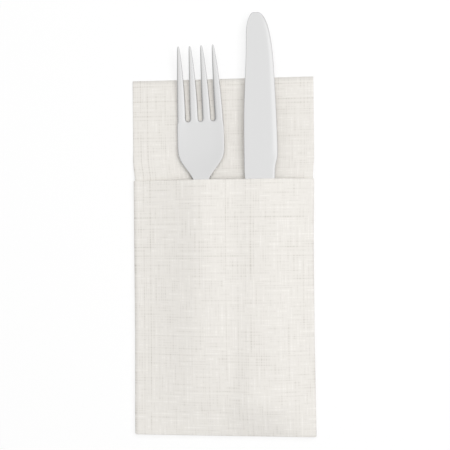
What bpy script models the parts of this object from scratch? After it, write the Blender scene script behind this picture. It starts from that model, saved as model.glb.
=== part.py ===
"""Table napkin folded into a cutlery pocket, with the table fork and table knife that it holds.

The napkin is one square of soft non-woven. Its lower edge is turned in as a hem and turned up as the
pocket, and the whole is then folded in four, so that a single sheet makes every layer. The fork is
stamped from one piece of stainless steel and the knife is forged in one piece.

Metres, +Z up. The set lies on its back: +Y points to the knife's tip, +Z out of the pocket's face,
and the origin is under the middle of the whole set, on the surface that it lies on.
"""

import math

import bmesh
import bpy

# Napkin, as folded
NAPKIN_WIDTH = 0.100
NAPKIN_LENGTH = 0.195
POCKET_DEPTH = 0.139
HEM_DEPTH = 0.066
SHEET_THICKNESS = 0.0003
LAYER_PITCH = 0.0005
FREE_EDGE_SETBACK = 0.002
SETTLE_LENGTH = 0.020

# Seats of the cutlery in the pocket
TOUCH_GAP = 0.0003
DRAPE_ALLOWANCE = 0.0005
HANDLE_END_GAP = 0.011

# Knife
KNIFE_LENGTH = 0.2185
KNIFE_OFFSET = 0.0221
KNIFE_LEAN = math.radians(0.1)
BLADE_LENGTH = 0.078
BLADE_WIDTH = 0.0183
SPINE_THICKNESS = 0.0018
EDGE_THICKNESS = 0.0005
BEVEL_WIDTH = 0.0022
TIP_INSET = 0.0066
SPINE_NOSE_LENGTH = 0.012
BELLY_NOSE_LENGTH = 0.033
BELLY_FULLNESS = 2.5
SPINE_FLARE = 0.0018
SPINE_FLARE_LENGTH = 0.050
BELLY_FLARE = 0.0024
HEEL_STEP = 0.0014
HEEL_LENGTH = 0.006
BOLSTER_LENGTH = 0.028
BOLSTER_WIDTH = 0.0115
BOLSTER_THICKNESS = 0.0058
KNIFE_END_WIDTH = 0.0185
KNIFE_END_THICKNESS = 0.0068
KNIFE_END_ROUND = 0.0090

# Fork
FORK_LENGTH = 0.2005
FORK_OFFSET = -0.0073
FORK_LEAN = math.radians(1.6)
FORK_HEAD_WIDTH = 0.0260
FORK_HEAD_LENGTH = 0.0545
FORK_TAPER_LENGTH = 0.0235
FORK_NECK_WIDTH = 0.0062
FORK_NECK_THICKNESS = 0.0034
FORK_PLATE_THICKNESS = 0.0020
FORK_END_WIDTH = 0.0190
FORK_END_THICKNESS = 0.0024
FORK_END_ROUND = 0.0085
FORK_ARCH_LENGTH = 0.045
FORK_ARCH_HEIGHT = 0.0066
BOWL_LENGTH = 0.047
BOWL_HOLLOW = 0.0011
TINES = 4
TINE_LENGTH = 0.0405
TINE_PITCH = 0.0063
TINE_RISE = 0.0088
TINE_TIP_WIDTH = 0.0012
TINE_TIP_THICKNESS = 0.0009
TINE_POINT_WIDTH = 0.0005
TINE_POINT_LENGTH = 0.0018
SLOT_ROOT_WIDTH = 0.0028
SLOT_FLARE_POWER = 2.2

# Forms shared by the fork and the knife
SECTION_POWER = 3.0
HANDLE_FLARE_POWER = 1.7
RIM_SHARE = 0.4
BLUNT = 0.0001
CREASE_ANGLE = math.radians(35)

# How finely the curved forms are drawn
RING_POINTS = 16
END_STATIONS = 6
FORK_RUN_STATIONS = 64
KNIFE_RUN_STATIONS = 56
SLOT_ROOT_POINTS = 8
SLOT_SIDE_POINTS = 6
POCKET_COLUMNS = 22
FLAT_COLUMNS = 2
LOOP_COLUMNS = 5
POCKET_ROWS = 15
FOLD_STEPS = 4
SETTLE_ROWS = 6
RIDGE_BLEND = 6

# Places that follow from the sizes above
SET_LENGTH = HANDLE_END_GAP + KNIFE_LENGTH
BOTTOM_Y = -SET_LENGTH / 2
LIP_Y = BOTTOM_Y + POCKET_DEPTH
TOP_Y = BOTTOM_Y + NAPKIN_LENGTH
HANDLE_END_Y = BOTTOM_Y + HANDLE_END_GAP
FLAP_OFFSET = 2 * LAYER_PITCH

# Layers that lie under each of the four back layers, lowest first, beside the pocket and above it
POCKET_STACK = (2, 3, 8, 9)
SETTLED_STACK = (0, 1, 2, 3)


def clamp(value, low=0.0, high=1.0):
    return max(low, min(high, value))


def mix(low, high, share):
    return low + (high - low) * share


def ease(value):
    """0 to 1 with level ends."""
    t = clamp(value)
    return t * t * (3 - 2 * t)


def firm_ease(value):
    """0 to 1 with level ends and a steeper middle."""
    t = clamp(value)
    return t * t * t * (t * (6 * t - 15) + 10)


def quarter_round(value, fullness=2):
    """The rise of a quarter circle from its upright end, or of a fuller curve than that."""
    return (1 - (1 - clamp(value)) ** fullness) ** (1 / fullness)


def squared(value):
    """A sine or cosine drawn out towards the corners of a rounded rectangle."""
    return math.copysign(abs(value) ** (2 / SECTION_POWER), value)


def ring_angles():
    return [2 * math.pi * i / RING_POINTS for i in range(RING_POINTS)]


def stations(length, start_round, end_round, run_count):
    """Distances along a bar that gather towards its two rounded ends."""
    turns = [math.pi / 2 * i / END_STATIONS for i in range(END_STATIONS + 1)]
    run = length - start_round - end_round
    places = [start_round * (1 - math.cos(turn)) for turn in turns[:-1]]
    places += [start_round + run * i / run_count for i in range(run_count)]
    places += [length - end_round * (1 - math.sin(turn)) for turn in turns]
    return [clamp(place, BLUNT, length - BLUNT) for place in places]


def add_material(obj, colour, roughness, metallic):
    material = bpy.data.materials.new(obj.name)
    material.use_nodes = True
    shader = material.node_tree.nodes["Principled BSDF"]
    shader.inputs["Base Color"].default_value = (*colour, 1)
    shader.inputs["Roughness"].default_value = roughness
    shader.inputs["Metallic"].default_value = metallic
    obj.data.materials.append(material)


def link_body(name, body, collection):
    """Turn a bmesh body into an object and put it in a collection."""
    mesh = bpy.data.meshes.new(name)
    body.to_mesh(mesh)
    body.free()
    obj = bpy.data.objects.new(name, mesh)
    collection.objects.link(obj)
    return obj


def loft(rings):
    """A closed body through rings that all have the same number of points."""
    body = bmesh.new()
    loops = [[body.verts.new(point) for point in ring] for ring in rings]
    for near, far in zip(loops, loops[1:]):
        for i in range(len(near)):
            j = (i + 1) % len(near)
            body.faces.new((near[i], near[j], far[j], far[i]))
    body.faces.new(list(reversed(loops[0])))
    body.faces.new(loops[-1])
    bmesh.ops.recalc_face_normals(body, faces=body.faces)
    return body


# Height of the napkin's layers

def settled(y):
    """0 beside the pocket, 1 where the stack above it has come down to its four back layers."""
    return ease((y - LIP_Y) / SETTLE_LENGTH)


def back_height(layer, y):
    """Height of the middle of one back layer, counted from the lowest, 0, to the top one, 3."""
    under = mix(POCKET_STACK[layer], SETTLED_STACK[layer], settled(y))
    return SHEET_THICKNESS / 2 + under * LAYER_PITCH


def seat_height(y):
    """Height that cutlery rests at on the top back layer."""
    return back_height(3, y) + SHEET_THICKNESS / 2 + TOUCH_GAP


# Knife: one forging, with a flat ground blade and a full, rounded handle.
# Its stations count from the tip.

def knife_edges(s):
    """Offsets of the spine and of the cutting edge from the knife's axis."""
    tip_x = TIP_INSET - BLADE_WIDTH / 2
    spine_share = ease((s - SPINE_NOSE_LENGTH) / SPINE_FLARE_LENGTH)
    spine = -BLADE_WIDTH / 2 + SPINE_FLARE * (1 - spine_share)
    belly = BLADE_WIDTH / 2 - BELLY_FLARE * (1 - ease(s / BLADE_LENGTH))
    belly -= HEEL_STEP * ease((s - BLADE_LENGTH) / HEEL_LENGTH)
    spine = mix(tip_x, spine, quarter_round(s / SPINE_NOSE_LENGTH))
    belly = mix(tip_x, belly, quarter_round(s / BELLY_NOSE_LENGTH, BELLY_FULLNESS))
    return spine, belly


def blade_section(s):
    """Flat blade: spine, parallel faces, a ground bevel, then the edge."""
    spine, belly = knife_edges(s)
    bevel = min(BEVEL_WIDTH, (belly - spine) / 3)
    points = []
    for angle in ring_angles():
        x = mix(spine, belly, (squared(math.cos(angle)) + 1) / 2)
        into_bevel = clamp((x - belly + bevel) / bevel)
        half = mix(SPINE_THICKNESS, EDGE_THICKNESS, into_bevel) / 2
        points.append((x, half * squared(math.sin(angle))))
    return points


def handle_share(s):
    """0 where the handle comes out of the bolster, 1 where its round end starts."""
    start = BLADE_LENGTH + HEEL_LENGTH + BOLSTER_LENGTH
    return clamp((s - start) / (KNIFE_LENGTH - KNIFE_END_ROUND - start))


def knife_thickness(s):
    return mix(BOLSTER_THICKNESS, KNIFE_END_THICKNESS, handle_share(s))


def handle_section(s):
    end = quarter_round((KNIFE_LENGTH - s) / KNIFE_END_ROUND)
    half = mix(BOLSTER_WIDTH, KNIFE_END_WIDTH, handle_share(s) ** HANDLE_FLARE_POWER) / 2 * end
    thick = knife_thickness(s) / 2 * mix(RIM_SHARE, 1, end)
    return [(half * squared(math.cos(a)), thick * squared(math.sin(a))) for a in ring_angles()]


def knife_section(s):
    """The blade swells into the handle over the bolster."""
    share = firm_ease((s - BLADE_LENGTH - HEEL_LENGTH) / BOLSTER_LENGTH)
    pairs = zip(blade_section(s), handle_section(s))
    return [(mix(b[0], h[0], share), mix(b[1], h[1], share)) for b, h in pairs]


def make_knife(collection):
    places = stations(KNIFE_LENGTH, SPINE_NOSE_LENGTH, KNIFE_END_ROUND, KNIFE_RUN_STATIONS)
    rings = [[(x, -s, z) for x, z in knife_section(s)] for s in places]
    knife = link_body("knife", loft(rings), collection)
    tip_x = KNIFE_OFFSET - KNIFE_LENGTH * math.sin(KNIFE_LEAN)
    axis_z = seat_height(HANDLE_END_Y) + KNIFE_END_THICKNESS / 2
    knife.location = (tip_x, HANDLE_END_Y + KNIFE_LENGTH, axis_z)
    knife.rotation_euler = (0, 0, KNIFE_LEAN)
    knife.data.shade_smooth()
    knife.data.set_sharp_from_angle(angle=CREASE_ANGLE)
    add_material(knife, (0.74, 0.74, 0.74), 0.18, 1.0)
    return knife


# Fork: a stamped blank with punched slots, pressed to a hollow bowl, curved tines and an arched
# handle. Its stations count from the tips.

def fork_half(s):
    """Half width of the blank."""
    head = FORK_HEAD_WIDTH / 2
    neck = FORK_NECK_WIDTH / 2
    if s < FORK_HEAD_LENGTH:
        tips = (TINE_PITCH * (TINES - 1) + TINE_TIP_WIDTH) / 2
        pointed = (TINE_TIP_WIDTH - TINE_POINT_WIDTH) / 2 * (1 - clamp(s / TINE_POINT_LENGTH))
        return mix(tips, head, 1 - (1 - s / FORK_HEAD_LENGTH) ** 2) - pointed
    handle_start = FORK_HEAD_LENGTH + FORK_TAPER_LENGTH
    if s < handle_start:
        return mix(head, neck, firm_ease((s - FORK_HEAD_LENGTH) / FORK_TAPER_LENGTH))
    share = clamp((s - handle_start) / (FORK_LENGTH - FORK_END_ROUND - handle_start))
    half = mix(neck, FORK_END_WIDTH / 2, share ** HANDLE_FLARE_POWER)
    return half * quarter_round((FORK_LENGTH - s) / FORK_END_ROUND)


def fork_thickness(s):
    neck_at = FORK_HEAD_LENGTH + FORK_TAPER_LENGTH
    if s < TINE_LENGTH:
        return mix(TINE_TIP_THICKNESS, FORK_PLATE_THICKNESS, quarter_round(s / TINE_LENGTH))
    if s < neck_at:
        rise = ease((s - TINE_LENGTH) / (neck_at - TINE_LENGTH))
        return mix(FORK_PLATE_THICKNESS, FORK_NECK_THICKNESS, rise)
    return mix(FORK_NECK_THICKNESS, FORK_END_THICKNESS, ease((s - neck_at) / (FORK_LENGTH - neck_at)))


def fork_height(s):
    """Height of the blank's middle over the line that the bowl and the handle's end rest on."""
    bowl = FORK_PLATE_THICKNESS / 2
    arch_at = BOWL_LENGTH + FORK_ARCH_LENGTH
    if s < BOWL_LENGTH:
        return bowl + TINE_RISE * (1 - s / BOWL_LENGTH) ** 2
    if s < arch_at:
        return bowl + FORK_ARCH_HEIGHT * ease((s - BOWL_LENGTH) / FORK_ARCH_LENGTH)
    fall = (s - arch_at) / (FORK_LENGTH - arch_at)
    return mix(bowl + FORK_ARCH_HEIGHT, FORK_END_THICKNESS / 2, fall ** 2)


def fork_hollow(s):
    """How far the head's sides stand above its middle."""
    neck_at = FORK_HEAD_LENGTH + FORK_TAPER_LENGTH
    fade = 1 - ease((s - BOWL_LENGTH) / (neck_at - BOWL_LENGTH))
    return BOWL_HOLLOW * ease(s / TINE_LENGTH) * fade


def fork_section(s):
    end = quarter_round((FORK_LENGTH - s) / FORK_END_ROUND)
    thick = fork_thickness(s) / 2 * mix(RIM_SHARE, 1, end)
    points = []
    for angle in ring_angles():
        across = squared(math.cos(angle))
        middle = fork_height(s) + fork_hollow(s) * across * across
        points.append((fork_half(s) * across, middle + thick * squared(math.sin(angle))))
    return points


def slot_outline(step):
    """Outline of one gap between tines, from one mouth corner round the root to the other.

    The gap is narrow for most of its length and opens out towards the tips, where each tine comes
    to a point.
    """
    root = SLOT_ROOT_WIDTH / 2
    root_s = TINE_LENGTH - root
    root_x = step * (2 * fork_half(TINE_LENGTH) + SLOT_ROOT_WIDTH) / TINES
    mouth = (TINE_PITCH - TINE_TIP_WIDTH) / 2
    side = []
    for i in range(SLOT_SIDE_POINTS):
        s = mix(TINE_POINT_LENGTH, root_s, i / SLOT_SIDE_POINTS)
        open_share = (1 - s / root_s) ** SLOT_FLARE_POWER
        side.append((s, mix(root, mouth, open_share), mix(step * TINE_PITCH, root_x, s / root_s)))
    ahead = TINE_POINT_LENGTH
    side.insert(0, (-ahead, mouth + TINE_TIP_WIDTH - TINE_POINT_WIDTH, step * TINE_PITCH))
    outline = [(x + half, s) for s, half, x in side]
    for i in range(SLOT_ROOT_POINTS + 1):
        angle = math.pi * i / SLOT_ROOT_POINTS
        outline.append((root_x + root * math.cos(angle), root_s + root * math.sin(angle)))
    outline += [(x - half, s) for s, half, x in reversed(side)]
    return outline


def make_slot_cutter(number, collection):
    body = bmesh.new()
    below = FORK_PLATE_THICKNESS
    above = TINE_RISE + 3 * FORK_PLATE_THICKNESS
    floor = [body.verts.new((x, -s, -below)) for x, s in slot_outline(number - (TINES - 2) / 2)]
    grown = bmesh.ops.extrude_face_region(body, geom=[body.faces.new(floor)])
    tops = [item for item in grown["geom"] if isinstance(item, bmesh.types.BMVert)]
    bmesh.ops.translate(body, vec=(0, 0, below + above), verts=tops)
    bmesh.ops.recalc_face_normals(body, faces=body.faces)
    slot = link_body("slot_cutter_%d" % (number + 1), body, collection)
    slot.hide_render = True
    slot.display_type = "WIRE"
    return slot


def make_fork(collection, cutters):
    places = stations(FORK_LENGTH, TINE_POINT_LENGTH, FORK_END_ROUND, FORK_RUN_STATIONS)
    rings = [[(x, -s, z) for x, z in fork_section(s)] for s in places]
    fork = link_body("fork", loft(rings), collection)
    bowl_y = HANDLE_END_Y + FORK_LENGTH - BOWL_LENGTH
    fall = seat_height(HANDLE_END_Y) - seat_height(bowl_y)
    tilt = math.atan2(fall, FORK_LENGTH - BOWL_LENGTH)
    tip_x = FORK_OFFSET - FORK_LENGTH * math.sin(FORK_LEAN)
    tip_z = seat_height(bowl_y) - BOWL_LENGTH * math.sin(tilt)
    place = (tip_x, HANDLE_END_Y + FORK_LENGTH, tip_z)
    turn = (-tilt, 0, FORK_LEAN)
    fork.location = place
    fork.rotation_euler = turn
    for number in range(TINES - 1):
        slot = make_slot_cutter(number, cutters)
        slot.location = place
        slot.rotation_euler = turn
        cut = fork.modifiers.new("slot_%d" % (number + 1), "BOOLEAN")
        cut.operation = "DIFFERENCE"
        cut.solver = "EXACT"
        cut.object = slot
    fork.data.shade_smooth()
    fork.data.set_sharp_from_angle(angle=CREASE_ANGLE)
    add_material(fork, (0.74, 0.74, 0.74), 0.18, 1.0)
    return fork


# Napkin: one sheet, folded twice along its length and then in four across its width

def fork_top(y):
    """Height of the fork over the pocket's floor, held level from its arch to the lip."""
    arch_at = BOWL_LENGTH + FORK_ARCH_LENGTH
    s = clamp(HANDLE_END_Y + FORK_LENGTH - y, arch_at, FORK_LENGTH)
    return fork_height(s) + fork_thickness(s) / 2


def knife_top(y):
    """Height of the knife over the pocket's floor, held level from its bolster to the lip."""
    s = clamp(HANDLE_END_Y + KNIFE_LENGTH - y, 0, KNIFE_LENGTH)
    return (KNIFE_END_THICKNESS + knife_thickness(s)) / 2


def ridge(x, left, right, centre, half_width, height):
    """A tent over one piece of cutlery that runs down to the pocket's two sides."""
    span = centre - left if x < centre else right - centre
    past = abs(x - centre) - half_width
    softened = (past + math.hypot(past, half_width / 2)) / 2
    return height * clamp(1 - softened / (span - half_width))


def drape(x, y, left, right):
    """How far the pocket's face is lifted above its flat fold by the cutlery."""
    room = 2 * TOUCH_GAP + SHEET_THICKNESS + DRAPE_ALLOWANCE
    lift = room + LAYER_PITCH - FLAP_OFFSET
    above_end = y - HANDLE_END_Y
    fork_x = FORK_OFFSET - above_end * math.sin(FORK_LEAN)
    knife_x = KNIFE_OFFSET - above_end * math.sin(KNIFE_LEAN)
    over_fork = ridge(x, left, right, fork_x, FORK_END_WIDTH / 2, fork_top(y) + lift)
    over_knife = ridge(x, left, right, knife_x, KNIFE_END_WIDTH / 2, knife_top(y) + lift)
    closing = ease((y - BOTTOM_Y - LAYER_PITCH) / (HANDLE_END_GAP - LAYER_PITCH))
    return closing * (over_fork ** RIDGE_BLEND + over_knife ** RIDGE_BLEND) ** (1 / RIDGE_BLEND)


def across_fold(column, share, y):
    """A point on the back layer and its facing, in the X-Z plane, for one column of the sheet.

    Columns run from the free edge underneath round the left side, over the top, round the right
    side and back inside: 0, 2, 4 and 6 are flat, and 1, 3 and 5 are the turns between them.
    """
    low, third, second, top = (back_height(layer, y) for layer in range(4))
    flaps = FLAP_OFFSET * (1 - settled(y))
    side = NAPKIN_WIDTH / 2 - SHEET_THICKNESS / 2 - flaps
    free_x = NAPKIN_WIDTH / 2 - FREE_EDGE_SETBACK
    left_x = (top - low) / 2 - side
    right_x = side - (top - second) / 2
    if column == 0:
        return mix(free_x, left_x, share), low, 0.0, -1.0
    if column == 2:
        return mix(left_x, right_x, share), top, 0.0, 1.0
    if column == 4:
        return mix(right_x, left_x, share), second, 0.0, -1.0
    if column == 6:
        return mix(left_x, free_x, share), third, 0.0, 1.0
    if column == 1:
        angle = math.pi * (1.5 - share)
        centre_x, upper, lower, facing = left_x, top, low, 1
    elif column == 3:
        angle = math.pi * (0.5 - share)
        centre_x, upper, lower, facing = right_x, top, second, 1
    else:
        angle = math.pi * (0.5 + share)
        centre_x, upper, lower, facing = left_x, second, third, -1
    radius = (upper - lower) / 2
    across = math.cos(angle)
    up = math.sin(angle)
    return centre_x + radius * across, (upper + lower) / 2 + radius * up, facing * across, facing * up


def column_stops():
    """Every column line of the sheet: the column that it is in and how far across it."""
    flat, loop, face, fold = FLAT_COLUMNS, LOOP_COLUMNS, POCKET_COLUMNS, FOLD_STEPS
    stops = []
    for column, count in enumerate((flat, loop, face, fold, flat, loop, flat)):
        stops.extend((column, i / count) for i in range(count))
    stops.append((6, 1.0))
    return stops


def row_stops():
    """Every row line of the sheet, from the hem's free edge round to the napkin's top edge.

    Each is a place along Y, a share of the flap's offset from the back layer, and a distance that
    is taken off it.
    """
    fold = LAYER_PITCH / 2
    lip = LIP_Y - SHEET_THICKNESS / 2 - fold
    bottom = BOTTOM_Y + SHEET_THICKNESS / 2 + LAYER_PITCH
    pocket = [mix(lip, bottom, i / POCKET_ROWS) for i in range(POCKET_ROWS + 1)]
    hem_edge = lip - HEM_DEPTH
    hem = [y for y in pocket if y > hem_edge + fold] + [hem_edge]
    turns = [math.pi * i / FOLD_STEPS for i in range(1, FOLD_STEPS)]
    rows = [(y, 1, LAYER_PITCH) for y in reversed(hem)]
    rows += [(lip + fold * math.sin(turn), 1, fold * (1 + math.cos(turn))) for turn in turns]
    rows += [(y, 1, 0) for y in pocket]
    rows += [(bottom - LAYER_PITCH * math.sin(turn), (1 + math.cos(turn)) / 2, 0) for turn in turns]
    rows += [(y, 0, 0) for y in (bottom, (bottom + LIP_Y) / 2)]
    rows += [(LIP_Y + SETTLE_LENGTH * i / SETTLE_ROWS, 0, 0) for i in range(SETTLE_ROWS + 1)]
    rows.append((TOP_Y, 0, 0))
    return rows


def folded(column, share, row):
    """Where one point of the flat sheet comes to lie."""
    y, flap_share, taken_off = row
    x, z, facing_x, facing_z = across_fold(column, share, y)
    offset = FLAP_OFFSET
    if column == 2:
        left = across_fold(2, 0, y)[0]
        right = across_fold(2, 1, y)[0]
        offset += drape(x, y, left, right)
    offset = offset * flap_share - taken_off
    return x + facing_x * offset, y, z + facing_z * offset


def make_napkin(collection):
    columns = column_stops()
    rows = row_stops()
    last_column = len(columns) - 1
    last_row = len(rows) - 1
    bpy.ops.mesh.primitive_grid_add(x_subdivisions=last_column, y_subdivisions=last_row, size=1)
    napkin = bpy.context.object
    napkin.name = "napkin"
    for home in list(napkin.users_collection):
        home.objects.unlink(napkin)
    collection.objects.link(napkin)
    for vertex in napkin.data.vertices:
        column, share = columns[round((vertex.co.x + 0.5) * last_column)]
        row = rows[round((vertex.co.y + 0.5) * last_row)]
        vertex.co = folded(column, share, row)
    sheet = napkin.modifiers.new("sheet", "SOLIDIFY")
    sheet.thickness = SHEET_THICKNESS
    sheet.offset = 0
    sheet.use_even_offset = True
    add_material(napkin, (0.80, 0.78, 0.74), 0.9, 0.0)
    return napkin


def main():
    for obj in list(bpy.data.objects):
        bpy.data.objects.remove(obj)
    pieces = bpy.data.collections.new("cutlery_pocket_napkin")
    cutters = bpy.data.collections.new("cutters")
    bpy.context.scene.collection.children.link(pieces)
    bpy.context.scene.collection.children.link(cutters)
    make_napkin(pieces)
    make_fork(pieces, cutters)
    make_knife(pieces)


main()
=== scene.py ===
"""A table napkin folded into a cutlery pocket, with a fork and a knife in it, lying on a white table.

Metres, +Z up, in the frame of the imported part: +Y points to the knife's tip.
"""

import math

import bmesh
import bpy
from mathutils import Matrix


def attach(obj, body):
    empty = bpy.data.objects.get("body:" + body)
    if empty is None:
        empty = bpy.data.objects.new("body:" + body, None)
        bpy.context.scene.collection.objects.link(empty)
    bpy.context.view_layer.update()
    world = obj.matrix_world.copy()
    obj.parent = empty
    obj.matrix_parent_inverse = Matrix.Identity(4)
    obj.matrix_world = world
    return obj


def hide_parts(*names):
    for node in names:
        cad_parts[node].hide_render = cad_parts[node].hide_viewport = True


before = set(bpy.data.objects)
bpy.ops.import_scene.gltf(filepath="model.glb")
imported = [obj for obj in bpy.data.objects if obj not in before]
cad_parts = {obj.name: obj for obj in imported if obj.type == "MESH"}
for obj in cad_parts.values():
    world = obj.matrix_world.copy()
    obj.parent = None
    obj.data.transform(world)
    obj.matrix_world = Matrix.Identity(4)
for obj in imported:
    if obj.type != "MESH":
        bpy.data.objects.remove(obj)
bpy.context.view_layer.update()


# Table, light and camera
# A white table in a bright, even room, under one broad soft lamp that hangs a little to the right.
# The camera looks straight down, also from a little way to the right.

def clear_selection():
    """Leave nothing selected, and no object in edit mode."""
    if bpy.context.mode != "OBJECT":
        bpy.ops.object.mode_set(mode="OBJECT")
    bpy.ops.object.select_all(action="DESELECT")


def colour(code):
    """The linear colour of an sRGB hex code."""
    parts = [int(code[i:i + 2], 16) / 255 for i in (0, 2, 4)]
    linear = [part / 12.92 if part <= 0.04045 else ((part + 0.055) / 1.055) ** 2.4 for part in parts]
    return (*linear, 1)


def add_node(tree, kind, settings=None, links=None):
    """Add a shader node. Settings are its properties or sockets, and links name what feeds a socket."""
    node = tree.nodes.new(kind)
    for name, value in (settings or {}).items():
        if isinstance(name, int) or name in node.inputs:
            node.inputs[name].default_value = value
        else:
            setattr(node, name, value)
    for name, source in (links or {}).items():
        tree.links.new(source, node.inputs[name])
    return node


clear_selection()
bpy.ops.mesh.primitive_plane_add(size=4, location=(0, 0, 0))
table = bpy.context.object
table.name = "table"

# White laminate that stays white round the object and in its reflections, and keeps its shadow.
laminate = bpy.data.materials.new("white_laminate_table")
laminate.use_nodes = True
tree = laminate.node_tree
surface = tree.nodes["Principled BSDF"]
surface.inputs["Base Color"].default_value = colour("F4F4F4")
surface.inputs["Roughness"].default_value = 0.9
surface.inputs["Specular IOR Level"].default_value = 0.1
path = add_node(tree, "ShaderNodeLightPath")
seen = add_node(tree, "ShaderNodeMath", {"operation": "MAXIMUM"},
                {0: path.outputs["Is Camera Ray"], 1: path.outputs["Is Glossy Ray"]})
share = add_node(tree, "ShaderNodeMath", {"operation": "MULTIPLY", 1: 0.65}, {0: seen.outputs[0]})
glow = add_node(tree, "ShaderNodeEmission", {"Color": (1, 1, 1, 1), "Strength": 1.06})
both = add_node(tree, "ShaderNodeMixShader", None,
                {0: share.outputs[0], 1: surface.outputs[0], 2: glow.outputs[0]})
tree.links.new(both.outputs[0], tree.nodes["Material Output"].inputs["Surface"])
table.data.materials.append(laminate)

# The room: even light on matt surfaces. What polished steel mirrors is a white ceiling, brightest on
# the lamp's side, that falls off to dim walls.
room = bpy.data.worlds.new("white_studio")
bpy.context.scene.world = room
room.use_nodes = True
tree = room.node_tree
even = tree.nodes["Background"]
even.inputs["Color"].default_value = (1, 1, 1, 1)
even.inputs["Strength"].default_value = 0.48
toward = add_node(tree, "ShaderNodeTexCoord")
height = add_node(tree, "ShaderNodeSeparateXYZ", None, {"Vector": toward.outputs["Generated"]})
walls = add_node(tree, "ShaderNodeMapRange",
                 {"From Min": 0.0, "From Max": 0.45, "To Min": 0.15, "To Max": 1.25},
                 {"Value": height.outputs["Z"]})
lamp_side = add_node(tree, "ShaderNodeVectorMath", {"operation": "DOT_PRODUCT", 1: (0.5, 0.0, 0.866)},
                     {0: toward.outputs["Generated"]})
ceiling = add_node(tree, "ShaderNodeValToRGB", None, {"Fac": lamp_side.outputs["Value"]})
ceiling.color_ramp.elements[0].position = 0.2
ceiling.color_ramp.elements[0].color = (0.42, 0.42, 0.42, 1)
ceiling.color_ramp.elements[1].color = (0.92, 0.92, 0.92, 1)
for place, grey in ((0.50, 0.66), (0.64, 0.77), (0.71, 0.79), (0.82, 0.80)):
    ceiling.color_ramp.elements.new(place).color = (grey, grey, grey, 1)
studio = add_node(tree, "ShaderNodeBackground", None,
                  {"Color": ceiling.outputs["Color"], "Strength": walls.outputs[0]})
white = add_node(tree, "ShaderNodeBackground", {"Color": (1, 1, 1, 1), "Strength": 1.0})
path = add_node(tree, "ShaderNodeLightPath")
mirrored = add_node(tree, "ShaderNodeMixShader", None,
                    {0: path.outputs["Is Glossy Ray"], 1: even.outputs[0], 2: studio.outputs[0]})
seen = add_node(tree, "ShaderNodeMixShader", None,
                {0: path.outputs["Is Camera Ray"], 1: mirrored.outputs[0], 2: white.outputs[0]})
tree.links.new(seen.outputs[0], tree.nodes["World Output"].inputs["Surface"])

lamp = bpy.data.lights.new("softbox", "AREA")
lamp.shape = "RECTANGLE"
lamp.size = 0.9
lamp.size_y = 0.9
lamp.energy = 9.0
softbox = bpy.data.objects.new("softbox", lamp)
bpy.context.scene.collection.objects.link(softbox)
softbox.location = (0.31, 0.16, 1.14)
softbox.rotation_euler = (math.radians(-8), math.radians(15), 0)
softbox.visible_glossy = False

camera = bpy.data.objects.new("camera", bpy.data.cameras.new("camera"))
bpy.context.scene.collection.objects.link(camera)
camera.location = (0.08318, 0.00068, 0.600)
camera.rotation_euler = (-0.00219, 0.13654, -0.00996)
camera.data.sensor_width = 36
camera.data.lens = 88.46
camera.data.clip_start = 0.01
bpy.context.scene.camera = camera
bpy.context.scene.view_settings.view_transform = "Standard"


# Napkin
# One 400 mm square of airlaid paper with a linen embossing. A hem is turned in along one edge, that
# edge is turned up as the pocket, and the strip is then folded in four behind it.

NAPKIN_WIDTH = 0.0998
NAPKIN_LENGTH = 0.1947
POCKET_DEPTH = 0.1396
HEM_DEPTH = 0.0657
SHEET = 0.0003
PITCH = 0.0005
FREE_EDGE_SETBACK = 0.002
FLAP = 2 * PITCH

# How many layers lie under each of the four back ones, beside the pocket and above it.
POCKET_STACK = (2, 3, 8, 9)
SETTLED_STACK = (0, 1, 2, 3)
SETTLE_LENGTH = 0.020

# Where the cutlery lies: how long it is, where its end is in the pocket, and how it leans to the left.
KNIFE_LENGTH = 0.2185
KNIFE_OFFSET = 0.0221
KNIFE_LEAN = math.radians(0.1)
FORK_LENGTH = 0.2005
FORK_OFFSET = -0.0073
FORK_LEAN = math.radians(1.6)
HANDLE_END_GAP = 0.011
BOTTOM = -(HANDLE_END_GAP + KNIFE_LENGTH) / 2
LIP = BOTTOM + POCKET_DEPTH
TOP = BOTTOM + NAPKIN_LENGTH
HANDLE_END = BOTTOM + HANDLE_END_GAP


def clamp(value):
    return max(0.0, min(1.0, value))


def mix(low, high, part):
    return low + (high - low) * part


def ease(value):
    """0 to 1 with level ends."""
    t = clamp(value)
    return t * t * (3 - 2 * t)


def layer_height(layer, y):
    """Middle of one of the four back layers: high beside the pocket, and settled down above it."""
    under = mix(POCKET_STACK[layer], SETTLED_STACK[layer], ease((y - LIP) / SETTLE_LENGTH))
    return SHEET / 2 + under * PITCH


# The lie of the pocket's face. Each handle lifts it, by less where the handle is thinner and a little
# less again at the lip. It clings to a handle's left and right side, and the lift fades over a reach.
FACE_ROOM = 0.0015 + PITCH - FLAP
CREST_ROUNDING = 0.0036
HANDLE_HALF = 0.0092
FORK_END_LIFT = 0.0025
FORK_ARCH_LIFT = 0.0064
FORK_ARCH_LENGTH = 0.1085
FORK_ARCH_SINK = 0.0017
FORK_LIP_SINK = 0.0006
FORK_NARROWING = 0.0058
FORK_NARROWING_LENGTH = 0.110
FORK_REACH = 0.036
FORK_CLING = (1.7, 1.25)
KNIFE_LIFT = 0.0068
KNIFE_THINNING = 0.0005
KNIFE_LIP_SINK = 0.0011
KNIFE_NARROWING = 0.0028
KNIFE_NARROWING_LENGTH = 0.100
KNIFE_REACH = 0.020
KNIFE_CLING = (1.8, 1.1)
LIP_SINK_START = 0.108
LIP_SINK_LENGTH = 0.020
CLOSING_LENGTH = 0.0195
CLOSING_FULLNESS = 1.5
RIDGE_BLEND = 5


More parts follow.
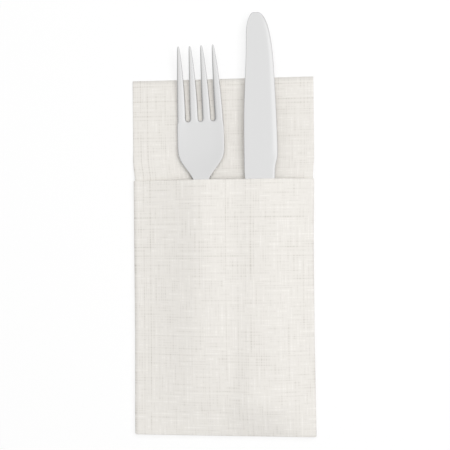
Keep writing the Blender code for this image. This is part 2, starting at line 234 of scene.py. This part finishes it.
def over_handle(past_left, past_right, left_span, right_span, cling):
    """Share of its lift that the sheet keeps beside a handle: all on top, then less to both sides."""
    past, span, power = past_left, left_span, cling[0]
    if past_right > past_left:
        past, span, power = past_right, right_span, cling[1]
    softened = (past + math.hypot(past, CREST_ROUNDING)) / 2
    return clamp(1 - softened / span) ** power


def pocket_rise(x, y, left, right):
    """How far the fork and the knife lift the pocket's face above its flat fold.

    The sheet lies on the fork's arched handle and on the knife's round one, sinks a little between
    them and towards the lip, runs down to the side folds, and closes over the handles' ends.
    """
    up = y - HANDLE_END
    arched = clamp(up / FORK_ARCH_LENGTH)
    at_lip = ease((up - LIP_SINK_START) / LIP_SINK_LENGTH)
    fork_x = FORK_OFFSET - up * math.sin(FORK_LEAN)
    knife_x = KNIFE_OFFSET - up * math.sin(KNIFE_LEAN)
    fork_lift = FORK_END_LIFT + FORK_ARCH_LIFT * (1 - (1 - arched) ** 2) - FORK_ARCH_SINK * arched
    fork_lift += FACE_ROOM - FORK_LIP_SINK * at_lip
    knife_lift = KNIFE_LIFT - KNIFE_THINNING * ease(up / KNIFE_NARROWING_LENGTH)
    knife_lift += FACE_ROOM - KNIFE_LIP_SINK * at_lip
    fork_half = HANDLE_HALF - FORK_NARROWING * ease(up / FORK_NARROWING_LENGTH)
    knife_half = HANDLE_HALF - KNIFE_NARROWING * ease(up / KNIFE_NARROWING_LENGTH)
    gap = (knife_x - knife_half) - (fork_x + fork_half)
    over_fork = fork_lift * over_handle(fork_x - fork_half - x, x - fork_x - fork_half,
                                        fork_x - fork_half - left, gap + FORK_REACH, FORK_CLING)
    over_knife = knife_lift * over_handle(knife_x - knife_half - x, x - knife_x - knife_half,
                                          gap + KNIFE_REACH, right - knife_x - knife_half, KNIFE_CLING)
    closing = 1 - (1 - clamp((y - BOTTOM - PITCH) / CLOSING_LENGTH)) ** CLOSING_FULLNESS
    return closing * (over_fork ** RIDGE_BLEND + over_knife ** RIDGE_BLEND) ** (1 / RIDGE_BLEND)


# The cutlery draws the pocket's sides in, and the right side springs out again at the lip. The flap is
# wrapped round the side folds, pressed flatter there, and its bottom fold curls up a little.
DRAWN_IN = 0.0005
DRAWN_IN_LENGTH = 0.060
LET_OUT_LENGTH = 0.040
UNWRAP_LENGTH = 0.012
SIDE_PRESS = 0.65
BOTTOM_CURL = 0.0004


def across(column, part, y):
    """A point on the back layer in the X-Z plane, and which way that layer faces there.

    Beside the pocket the layer is narrower, by the flap that is wrapped round it.
    """
    low, third, second, top = (layer_height(layer, y) for layer in range(4))
    drawn_in = DRAWN_IN * ease((y - BOTTOM) / DRAWN_IN_LENGTH)
    let_out = drawn_in * ease((y - LIP + LET_OUT_LENGTH) / LET_OUT_LENGTH)
    wrapped = 1 - ease((y - LIP) / UNWRAP_LENGTH)
    outermost = NAPKIN_WIDTH / 2 - SHEET / 2
    free = NAPKIN_WIDTH / 2 - FREE_EDGE_SETBACK
    left = (top - low) / 2 - outermost + (FLAP * SIDE_PRESS + drawn_in) * wrapped
    right = outermost - (FLAP * SIDE_PRESS + drawn_in - let_out) * wrapped - (top - second) / 2
    if column == 0:
        return mix(free, left, part), low, 0.0, -1.0
    if column == 2:
        return mix(left, right, part), top, 0.0, 1.0
    if column == 4:
        return mix(right, left, part), second, 0.0, -1.0
    if column == 6:
        return mix(left, free, part), third, 0.0, 1.0
    if column == 1:
        angle, middle, upper, lower, facing = math.pi * (1.5 - part), left, top, low, 1
    elif column == 3:
        angle, middle, upper, lower, facing = math.pi * (0.5 - part), right, top, second, 1
    else:
        angle, middle, upper, lower, facing = math.pi * (0.5 + part), left, second, third, -1
    out, up = math.cos(angle), math.sin(angle)
    radius = (upper - lower) / 2
    return middle + radius * out, (upper + lower) / 2 + radius * up, facing * out, facing * up


# Lines across the flat sheet, in steps from one free edge to the other: the under layer, its fold, the
# face, its fold, the second layer, its fold, and the third layer. A line is a column and a place in it.
COLUMN_STEPS = (6, 10, 96, 8, 6, 8, 6)
column_lines = []
for column, count in enumerate(COLUMN_STEPS):
    column_lines += [(column, i / count) for i in range(count)]
column_lines.append((len(COLUMN_STEPS) - 1, 1.0))

# Lines along the sheet: up the hem, over the lip, down the pocket's face, round the bottom fold and up
# the back. A line is a place along Y, how far the flap stands off the back, and what a turn takes off.
FACE_STEPS = 92
TURN_STEPS = 6
BACK_STEPS = 10
SETTLE_STEPS = 20
SETTLE_CROWDING = 1.6
TOP_STEPS = 12
roll = PITCH / 2
lip_line = LIP - SHEET / 2 - roll
bottom_line = BOTTOM + BOTTOM_CURL + SHEET / 2 + PITCH
face_lines = [mix(lip_line, bottom_line, i / FACE_STEPS) for i in range(FACE_STEPS + 1)]
hem_lines = [y for y in face_lines if y > lip_line - HEM_DEPTH + roll] + [lip_line - HEM_DEPTH]
turns = [math.pi * i / TURN_STEPS for i in range(1, TURN_STEPS)]
settling = [(i / SETTLE_STEPS) ** SETTLE_CROWDING for i in range(SETTLE_STEPS + 1)]
row_lines = [(y, 1, PITCH) for y in reversed(hem_lines)]
row_lines += [(lip_line + roll * math.sin(t), 1, roll * (1 + math.cos(t))) for t in turns]
row_lines += [(y, 1, 0) for y in face_lines]
row_lines += [(bottom_line - PITCH * math.sin(t), (1 + math.cos(t)) / 2, 0) for t in turns]
row_lines += [(mix(bottom_line, LIP, i / BACK_STEPS), 0, 0) for i in range(BACK_STEPS)]
row_lines += [(LIP + SETTLE_LENGTH * step, 0, 0) for step in settling]
row_lines += [(mix(LIP + SETTLE_LENGTH, TOP, i / TOP_STEPS), 0, 0) for i in range(1, TOP_STEPS + 1)]


def fold_point(column, part, row):
    """Where a point of the flat sheet comes to lie."""
    y, flap_share, taken_off = row
    x, z, out, up = across(column, part, y)
    offset = FLAP
    if column == 2:
        offset += pocket_rise(x, y, across(2, 0, y)[0], across(2, 1, y)[0])
    offset = offset * flap_share - taken_off
    return x + out * offset * SIDE_PRESS, y, z + up * offset


def measured(points):
    """Distance along the sheet of each of the points from the first one."""
    places = [0.0]
    for near, far in zip(points, points[1:]):
        places.append(places[-1] + math.dist(near, far))
    return places


# The flat square becomes a grid with a line at each fold and turn. Its UV map is the sheet laid flat
# again, in metres, so that the embossing runs on round every fold.
clear_selection()
last_column = len(column_lines) - 1
last_row = len(row_lines) - 1
bpy.ops.mesh.primitive_grid_add(x_subdivisions=last_column, y_subdivisions=last_row, size=1)
napkin = bpy.context.object
napkin.name = "napkin_paper"
sheet_across = measured([fold_point(column, part, (TOP, 0, 0)) for column, part in column_lines])
sheet_down = measured([fold_point(4, 0.5, row) for row in row_lines])
flat = {}
for vertex in napkin.data.vertices:
    i = round((vertex.co.x + 0.5) * last_column)
    j = round((vertex.co.y + 0.5) * last_row)
    flat[vertex.index] = (sheet_across[i], sheet_down[j])
    vertex.co = fold_point(*column_lines[i], row_lines[j])
layer = napkin.data.uv_layers.active.data
for loop in napkin.data.loops:
    layer[loop.index].uv = flat[loop.vertex_index]
thick = napkin.modifiers.new("sheet", "SOLIDIFY")
thick.thickness = SHEET
thick.offset = 0
thick.use_even_offset = True
bpy.ops.object.modifier_apply(modifier=thick.name)
napkin.data.shade_smooth()

# Airlaid paper: soft matt wood fibre, embossed between rollers with a linen weave. The eye sees fine
# straight threads both ways, some pressed deeper for a few centimetres, and no gloss. Their colour is
# darker the deeper they are pressed and lighter where raised, which is painted shade in the embossed
# grooves and dips, on top of the bump's real relief.
THREAD_SPACING = 0.0014
PUSHES_PER_THREAD = 0.23
PUSH = 2.2
RUNS_PER_THREAD = 0.10
EMBOSSED_DEPTH = 0.0001
airlaid = bpy.data.materials.new("airlaid_paper_linen_embossed")
airlaid.use_nodes = True
tree = airlaid.node_tree
paper = tree.nodes["Principled BSDF"]
paper.inputs["Roughness"].default_value = 0.95
paper.inputs["Specular IOR Level"].default_value = 0.25
paper.inputs["Sheen Weight"].default_value = 0.15
paper.inputs["Sheen Roughness"].default_value = 0.6
sheet_map = add_node(tree, "ShaderNodeUVMap", {"uv_map": napkin.data.uv_layers.active.name})
counted = add_node(tree, "ShaderNodeVectorMath",
                   {"operation": "DIVIDE", 1: (THREAD_SPACING, THREAD_SPACING, 1)},
                   {0: sheet_map.outputs["UV"]})
crossing = add_node(tree, "ShaderNodeSeparateXYZ", None, {"Vector": counted.outputs[0]})


def unevenly_spaced(counted_threads, seed):
    """The count of threads, with some of them pushed closer together and some further apart."""
    start = add_node(tree, "ShaderNodeMath", {"operation": "MULTIPLY_ADD", 1: PUSHES_PER_THREAD, 2: seed},
                     {0: counted_threads})
    push = add_node(tree, "ShaderNodeTexNoise", {"noise_dimensions": "1D", "Scale": 1.0, "Detail": 1.0},
                    {"W": start.outputs[0]})
    moved = add_node(tree, "ShaderNodeMath", {"operation": "MULTIPLY_ADD", 1: PUSH},
                     {0: push.outputs["Fac"], 2: counted_threads})
    return moved.outputs[0]


def pressed_threads(counted_across, counted_along, seed):
    """How deep the threads of one direction are pressed: 1 for the deepest, under 0 for raised ones.

    Each thread is straight. Its own noise presses or raises it in runs along its length, a few
    threads are bold from end to end, and each is dotted where it dips under those that cross it.
    """
    number = add_node(tree, "ShaderNodeMath", {"operation": "FLOOR"}, {0: counted_across})
    place = add_node(tree, "ShaderNodeMath", {"operation": "PINGPONG", 1: 0.5}, {0: counted_across})
    groove = add_node(tree, "ShaderNodeMapRange",
                      {"interpolation_type": "SMOOTHSTEP", "From Min": 0.16, "From Max": 0.46},
                      {"Value": place.outputs[0]})
    own = add_node(tree, "ShaderNodeCombineXYZ", {"Z": seed}, {"X": number.outputs[0], "Y": counted_along})
    drawn = add_node(tree, "ShaderNodeMapping", {"Scale": (3.7, RUNS_PER_THREAD, 1)},
                     {"Vector": own.outputs[0]})
    run = add_node(tree, "ShaderNodeTexNoise", {"Scale": 1.0, "Detail": 3.0, "Roughness": 0.65},
                   {"Vector": drawn.outputs[0]})
    varied = add_node(tree, "ShaderNodeMapRange",
                      {"From Min": 0.32, "From Max": 0.76, "To Min": -0.55, "To Max": 0.9},
                      {"Value": run.outputs["Fac"]})
    chance = add_node(tree, "ShaderNodeTexWhiteNoise", {"noise_dimensions": "1D"}, {"W": number.outputs[0]})
    bold = add_node(tree, "ShaderNodeMapRange",
                    {"From Min": 0.78, "From Max": 1.0, "To Min": 0.0, "To Max": 0.6},
                    {"Value": chance.outputs["Value"]})
    depth = add_node(tree, "ShaderNodeMath", {"operation": "ADD"},
                     {0: varied.outputs[0], 1: bold.outputs[0]})
    dip = add_node(tree, "ShaderNodeMath", {"operation": "PINGPONG", 1: 0.5}, {0: counted_along})
    dots = add_node(tree, "ShaderNodeMapRange", {"From Max": 0.5, "To Min": 0.35, "To Max": 1.0},
                    {"Value": dip.outputs[0]})
    line = add_node(tree, "ShaderNodeMath", {"operation": "MULTIPLY"},
                    {0: groove.outputs[0], 1: depth.outputs[0]})
    dotted = add_node(tree, "ShaderNodeMath", {"operation": "MULTIPLY"},
                      {0: line.outputs[0], 1: dots.outputs[0]})
    return dotted.outputs[0]


warp_count = unevenly_spaced(crossing.outputs["X"], 4.0)
weft_count = unevenly_spaced(crossing.outputs["Y"], 31.0)
warp = pressed_threads(warp_count, weft_count, 2.5)
weft = pressed_threads(weft_count, warp_count, 8.5)
weave = add_node(tree, "ShaderNodeMath", {"operation": "ADD"}, {0: warp, 1: weft})
emboss_depth_and_shade = add_node(tree, "ShaderNodeMath",
                   {"operation": "MULTIPLY_ADD", 1: 0.7, 2: 0.32, "use_clamp": True},
                   {0: weave.outputs[0]})
# The deeper pressed threads get the darker colour: painted shade in the grooves, and the raised ones a
# painted lighter tone.
groove_shade_tint = add_node(tree, "ShaderNodeMix", {"data_type": "RGBA", 6: colour("F6F3EE"), 7: colour("D8D4CD")},
                {0: emboss_depth_and_shade.outputs[0]})
tree.links.new(groove_shade_tint.outputs[2], paper.inputs["Base Color"])
emboss = add_node(tree, "ShaderNodeBump", {"Strength": 0.5, "Distance": EMBOSSED_DEPTH, "invert": True},
                  {"Height": emboss_depth_and_shade.outputs[0]})
tree.links.new(emboss.outputs[0], paper.inputs["Normal"])
napkin.data.materials.clear()
napkin.data.materials.append(airlaid)

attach(napkin, "root")
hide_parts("napkin")


# Fork
# Stamped from one sheet of stainless steel and polished. Four tapered tines with round slot roots, a
# shallow pressed bowl, and an arched handle whose round end rests at the bottom of the pocket.

# Stations along the fork, as distances from its tips.
TINE_LENGTH = 0.0398
BOWL = 0.047
HEAD = 0.0545
NECK = 0.078
ARCH = 0.092

TIPS_WIDTH = 0.0201
HEAD_WIDTH = 0.0260
NECK_WIDTH = 0.0062
FORK_END_WIDTH = 0.0190
FORK_END_ROUND = 0.0085
HANDLE_FLARE = 1.7
TINE_PITCH = 0.0063
TINE_TIP_WIDTH = 0.0013
TINE_FULLNESS = 2.1
TINE_POINT = 0.0004
TINE_POINT_LENGTH = 0.0022
SLOT_ROOT = 0.0021
TIP_GAUGE = 0.0010
PLATE_GAUGE = 0.0020
NECK_GAUGE = 0.0034
FORK_END_GAUGE = 0.0024
BOWL_BOTTOM = 0.0010
TINE_RISE = 0.0088
ARCH_HEIGHT = 0.0066
FORK_END_RISE = 0.0012
HOLLOW = 0.0006
LAID_HEIGHT = 0.0021
LAID_SLOPE = 0.0030 / (FORK_LENGTH - BOWL)


def round_end(value, fullness=2):
    """The rise of a quarter circle from its upright end, or of a fuller curve."""
    return (1 - (1 - clamp(value)) ** fullness) ** (1 / fullness)


def firm_ease(value):
    """0 to 1 with level ends and a firmer turn than ease."""
    t = clamp(value)
    return t * t * t * (t * (6 * t - 15) + 10)


def fork_width(s):
    """Width of the blank, by the distance from the tips."""
    if s < HEAD:
        return mix(TIPS_WIDTH, HEAD_WIDTH, 1 - (1 - s / HEAD) ** 2)
    if s < NECK:
        return mix(HEAD_WIDTH, NECK_WIDTH, firm_ease((s - HEAD) / (NECK - HEAD)))
    along = clamp((s - NECK) / (FORK_LENGTH - FORK_END_ROUND - NECK))
    end = round_end((FORK_LENGTH - s) / FORK_END_ROUND)
    return mix(NECK_WIDTH, FORK_END_WIDTH, along ** HANDLE_FLARE) * end


def fork_gauge(s):
    """Thickness of the blank."""
    if s < TINE_LENGTH:
        return mix(TIP_GAUGE, PLATE_GAUGE, round_end(s / TINE_LENGTH))
    if s < NECK:
        return mix(PLATE_GAUGE, NECK_GAUGE, ease((s - TINE_LENGTH) / (NECK - TINE_LENGTH)))
    gauge = mix(NECK_GAUGE, FORK_END_GAUGE, ease((s - NECK) / (FORK_LENGTH - NECK)))
    return gauge * mix(0.5, 1, round_end((FORK_LENGTH - s) / FORK_END_ROUND))


def fork_middle(s):
    """Height of the blank's middle as it lies on the folded napkin."""
    if s < BOWL:
        rise = BOWL_BOTTOM + TINE_RISE * (1 - s / BOWL) ** 2
    elif s < ARCH:
        rise = BOWL_BOTTOM + ARCH_HEIGHT * ease((s - BOWL) / (ARCH - BOWL))
    else:
        rise = mix(BOWL_BOTTOM + ARCH_HEIGHT, FORK_END_RISE, ((s - ARCH) / (FORK_LENGTH - ARCH)) ** 2)
    return LAID_HEIGHT + LAID_SLOPE * (s - BOWL) + rise


def pick_faces(piece, chosen):
    """In edit mode, select only the faces whose middle and normal pass."""
    bpy.ops.mesh.select_mode(type="FACE")
    bpy.ops.mesh.select_all(action="DESELECT")
    cage = bmesh.from_edit_mesh(piece.data)
    for face in cage.faces:
        if chosen(face.calc_center_median(), face.normal):
            face.select_set(True)
    bmesh.update_edit_mesh(piece.data)


def pick_rims(piece, first, last):
    """In edit mode, select the sharp edges that run along the outline between two stations."""
    bpy.ops.mesh.select_mode(type="EDGE")
    bpy.ops.mesh.select_all(action="DESELECT")
    cage = bmesh.from_edit_mesh(piece.data)
    for edge in cage.edges:
        near, far = (end.co for end in edge.verts)
        level = math.hypot(near.x - far.x, near.y - far.y) > abs(near.z - far.z)
        if level and first <= -(near.y + far.y) / 2 <= last and edge.calc_face_angle(0) > math.radians(50):
            edge.select_set(True)
    bmesh.update_edit_mesh(piece.data)


def draw_out(step, middle, stretch):
    """Extrude the selected end by a step, then scale its section about its new middle."""
    bpy.ops.mesh.extrude_region_move(TRANSFORM_OT_translate={"value": step})
    bpy.ops.transform.resize(value=stretch, center_override=middle)


# A thin slice at the handle's end is cut into strips, one for each tine and slot, and then drawn out
# station by station up to the tines' roots.
END_SLICE = 0.0002
clear_selection()
start = FORK_LENGTH - END_SLICE
bpy.ops.mesh.primitive_cube_add(size=1, location=(0, -start, fork_middle(start)),
                                scale=(fork_width(start), END_SLICE, fork_gauge(start)))
fork = bpy.context.object
fork.name = "fork_stamped"
bpy.ops.object.transform_apply(location=True, rotation=True, scale=True)
bpy.ops.object.mode_set(mode="EDIT")
tine_root = (fork_width(TINE_LENGTH) - 3 * SLOT_ROOT) / 4 / fork_width(TINE_LENGTH)
slot_root = SLOT_ROOT / fork_width(TINE_LENGTH)
for number in range(3):
    for edge in (tine_root, tine_root + slot_root):
        cut = fork_width(start) * (number * (tine_root + slot_root) + edge - 0.5)
        bpy.ops.mesh.select_all(action="SELECT")
        bpy.ops.mesh.bisect(plane_co=(cut, 0, 0), plane_no=(1, 0, 0))

pick_faces(fork, lambda middle, normal: normal.y > 0.9)
before = start
for s in (0.1998, 0.1984, 0.1962, 0.1925, 0.184, 0.168, 0.150, 0.132, 0.114, 0.100, 0.090, 0.083,
          0.078, 0.075, 0.072, 0.069, 0.066, 0.063, 0.060, 0.057, 0.053, 0.048, 0.0435, TINE_LENGTH):
    stretch = (fork_width(s) / fork_width(before), 1, fork_gauge(s) / fork_gauge(before))
    step = (0, before - s, fork_middle(s) - fork_middle(before))
    draw_out(step, (0, -s, fork_middle(s)), stretch)
    before = s

# Tines: each is drawn out of the head by itself, tapering to a blunt point.
for number in range(4):
    place = number - 1.5
    root_x = place * (tine_root + slot_root) * fork_width(TINE_LENGTH)
    pick_faces(fork, lambda middle, normal: normal.y > 0.9 and middle.y > -TINE_LENGTH - 0.0001
               and abs(middle.x - root_x) < 0.0015)
    before, width, x = TINE_LENGTH, tine_root * fork_width(TINE_LENGTH), root_x
    for s in (0.0374, 0.0345, 0.031, 0.026, 0.020, 0.014, 0.009, 0.005, 0.0022, 0.0006, -TINE_POINT):
        along = clamp(s / TINE_LENGTH)
        new_x = mix(place * TINE_PITCH, root_x, along)
        blunt = mix(0.45, 1, round_end((s + TINE_POINT) / TINE_POINT_LENGTH))
        full_width = tine_root * fork_width(TINE_LENGTH)
        new_width = mix(TINE_TIP_WIDTH, full_width, 1 - (1 - along) ** TINE_FULLNESS) * blunt
        stretch = (new_width / width, 1, fork_gauge(s) / fork_gauge(before) * (0.7 if s < 0 else 1))
        step = (new_x - x, before - s, fork_middle(s) - fork_middle(before))
        draw_out(step, (new_x, -s, fork_middle(s)), stretch)
        before, width, x = s, new_width, new_x

# The rims are creased, so that smoothing rounds the body's a little and the tines' more.
pick_rims(fork, TINE_LENGTH, FORK_LENGTH)
bpy.ops.transform.edge_crease(value=0.45)
pick_rims(fork, -0.001, TINE_LENGTH - 0.0001)
bpy.ops.transform.edge_crease(value=0.22)
bpy.ops.object.mode_set(mode="OBJECT")

# The press hollows the bowl: its sides come up round the middle.
for vertex in fork.data.vertices:
    s = -vertex.co.y
    hollow = HOLLOW * ease(s / TINE_LENGTH) * (1 - ease((s - BOWL) / (NECK - BOWL)))
    vertex.co.z += hollow * (2 * vertex.co.x / HEAD_WIDTH) ** 2

smooth = fork.modifiers.new("smooth", "SUBSURF")
smooth.levels = 3
smooth.render_levels = 3
bpy.ops.object.modifier_apply(modifier=smooth.name)
fork.data.shade_smooth()
fork.rotation_euler = (0, 0, FORK_LEAN)
fork.location = (FORK_OFFSET - FORK_LENGTH * math.sin(FORK_LEAN), HANDLE_END + FORK_LENGTH, 0)
bpy.ops.object.transform_apply(location=True, rotation=True, scale=True)

# Polished stainless steel: pressed, tumbled and buffed along its length, so it mirrors softly and
# shows faint lengthwise lines only close up.
polished = bpy.data.materials.new("stainless_steel_buffed")
polished.use_nodes = True
tree = polished.node_tree
steel = tree.nodes["Principled BSDF"]
steel.inputs["Base Color"].default_value = colour("E1E1E1")
steel.inputs["Metallic"].default_value = 1.0
place = add_node(tree, "ShaderNodeTexCoord")
lines = add_node(tree, "ShaderNodeMapping", {"Scale": (2600, 45, 2600)},
                 {"Vector": place.outputs["Object"]})
buffing = add_node(tree, "ShaderNodeTexNoise", {"Scale": 1.0, "Detail": 3.0}, {"Vector": lines.outputs[0]})
gloss = add_node(tree, "ShaderNodeMapRange", {"To Min": 0.11, "To Max": 0.19},
                 {"Value": buffing.outputs["Fac"]})
tree.links.new(gloss.outputs[0], steel.inputs["Roughness"])
grooves = add_node(tree, "ShaderNodeBump", {"Strength": 0.12, "Distance": 0.00002},
                   {"Height": buffing.outputs["Fac"]})
tree.links.new(grooves.outputs[0], steel.inputs["Normal"])
fork.data.materials.clear()
fork.data.materials.append(polished)

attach(fork, "root")
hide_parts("fork")


# Knife
# Forged in one piece from stainless steel: a full rounded handle, a bolster that thins into a flat
# blade with a round nose, and an edge ground along the outer side.

# Stations along the knife, as distances from its tip.
SPINE_NOSE = 0.012
SPINE_FLARE_LENGTH = 0.050
BELLY_NOSE = 0.033
BLADE = 0.078
HEEL = 0.084
HANDLE = 0.112

BLADE_HALF = 0.00915
TIP_INSET = 0.0066
SPINE_FLARE = 0.0018
BELLY_FLARE = 0.0024
BELLY_FULLNESS = 2.5
HEEL_STEP = 0.0014
BOLSTER_HALF = 0.00575
KNIFE_END_HALF = 0.00925
KNIFE_END_ROUND = 0.009
BLADE_GAUGE = 0.0018
BOLSTER_GAUGE = 0.0058
KNIFE_END_GAUGE = 0.0068
AXIS_HEIGHT = 0.0051 + KNIFE_END_GAUGE / 2


def knife_sides(s):
    """Spine and edge as offsets from the knife's axis, by the distance from the tip."""
    tip = TIP_INSET - BLADE_HALF
    spine = -BLADE_HALF + SPINE_FLARE * (1 - ease((s - SPINE_NOSE) / SPINE_FLARE_LENGTH))
    belly = BLADE_HALF - BELLY_FLARE * (1 - ease(s / BLADE))
    belly -= HEEL_STEP * ease((s - BLADE) / (HEEL - BLADE))
    spine = mix(tip, spine, round_end(s / SPINE_NOSE))
    belly = mix(tip, belly, round_end(s / BELLY_NOSE, BELLY_FULLNESS))
    along = clamp((s - HANDLE) / (KNIFE_LENGTH - KNIFE_END_ROUND - HANDLE))
    end = round_end((KNIFE_LENGTH - s) / KNIFE_END_ROUND)
    half = mix(BOLSTER_HALF, KNIFE_END_HALF, along ** HANDLE_FLARE) * end
    swell = firm_ease((s - HEEL) / (HANDLE - HEEL))
    return mix(spine, -half, swell), mix(belly, half, swell)


def knife_gauge(s):
    """Thickness, from the blade through the bolster to the handle's rounded end."""
    along = clamp((s - HANDLE) / (KNIFE_LENGTH - KNIFE_END_ROUND - HANDLE))
    end = mix(0.4, 1, round_end((KNIFE_LENGTH - s) / KNIFE_END_ROUND))
    swell = firm_ease((s - HEEL) / (HANDLE - HEEL))
    return mix(BLADE_GAUGE, mix(BOLSTER_GAUGE, KNIFE_END_GAUGE, along) * end, swell)


# The knife is drawn out of a slice too, with a line along the spine and one where the grinding starts.
clear_selection()
start = KNIFE_LENGTH - END_SLICE
left, right = knife_sides(start)
bpy.ops.mesh.primitive_cube_add(size=1, location=((left + right) / 2, -start, 0),
                                scale=(right - left, END_SLICE, knife_gauge(start)))
knife = bpy.context.object
knife.name = "knife_forged"
bpy.ops.object.transform_apply(location=True, rotation=True, scale=True)
bpy.ops.object.mode_set(mode="EDIT")
SPINE_EASE = 0.12
GRIND = 0.86
for share in (SPINE_EASE, GRIND):
    bpy.ops.mesh.select_all(action="SELECT")
    bpy.ops.mesh.bisect(plane_co=(mix(left, right, share), 0, 0), plane_no=(1, 0, 0))

pick_faces(knife, lambda middle, normal: normal.y > 0.9)
before = start
for s in (0.2178, 0.2163, 0.2140, 0.2100, 0.200, 0.182, 0.162, 0.142, 0.124, 0.112, 0.107, 0.102,
          0.097, 0.092, 0.088, 0.0845, 0.0825, 0.0800, 0.0775, 0.073, 0.064, 0.054, 0.044, 0.036,
          0.029, 0.023, 0.018, 0.0135, 0.0100, 0.0070, 0.0045, 0.0026, 0.0012, 0.0004):
    old_left, old_right = left, right
    left, right = knife_sides(s)
    middle = (left + right) / 2
    stretch = ((right - left) / (old_right - old_left), 1, knife_gauge(s) / knife_gauge(before))
    draw_out((middle - (old_left + old_right) / 2, before - s, 0), (middle, -s, 0), stretch)
    before = s


def pick_edges(piece, chosen):
    """In edit mode, select only the edges whose two ends pass."""
    bpy.ops.mesh.select_mode(type="EDGE")
    bpy.ops.mesh.select_all(action="DESELECT")
    cage = bmesh.from_edit_mesh(piece.data)
    for edge in cage.edges:
        if all(chosen(end.co) for end in edge.verts):
            edge.select_set(True)
    bmesh.update_edit_mesh(piece.data)


def on_line(point, share, last=0.0785):
    """Up to a distance from the tip, at one share of the way from the spine to the edge."""
    spine, belly = knife_sides(-point.y)
    return -point.y < last and abs((point.x - spine) / (belly - spine) - share) < 0.02


# The edge is ground thin, with a crisp line where the grinding starts, and the spine stays square.
pick_edges(knife, lambda point: on_line(point, 1))
bpy.ops.transform.resize(value=(1, 1, 0.45), center_override=(0, 0, 0))
pick_edges(knife, lambda point: on_line(point, GRIND))
bpy.ops.transform.edge_crease(value=0.75)
pick_edges(knife, lambda point: on_line(point, 0, last=0.098))
bpy.ops.transform.edge_crease(value=0.45)
bpy.ops.object.mode_set(mode="OBJECT")

smooth = knife.modifiers.new("smooth", "SUBSURF")
smooth.levels = 3
smooth.render_levels = 3
bpy.ops.object.modifier_apply(modifier=smooth.name)
knife.data.shade_smooth()
knife.rotation_euler = (0, 0, KNIFE_LEAN)
knife.location = (KNIFE_OFFSET - KNIFE_LENGTH * math.sin(KNIFE_LEAN), HANDLE_END + KNIFE_LENGTH,
                  AXIS_HEIGHT)
bpy.ops.object.transform_apply(location=True, rotation=True, scale=True)
knife.data.materials.clear()
knife.data.materials.append(polished)

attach(knife, "root")
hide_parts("knife")
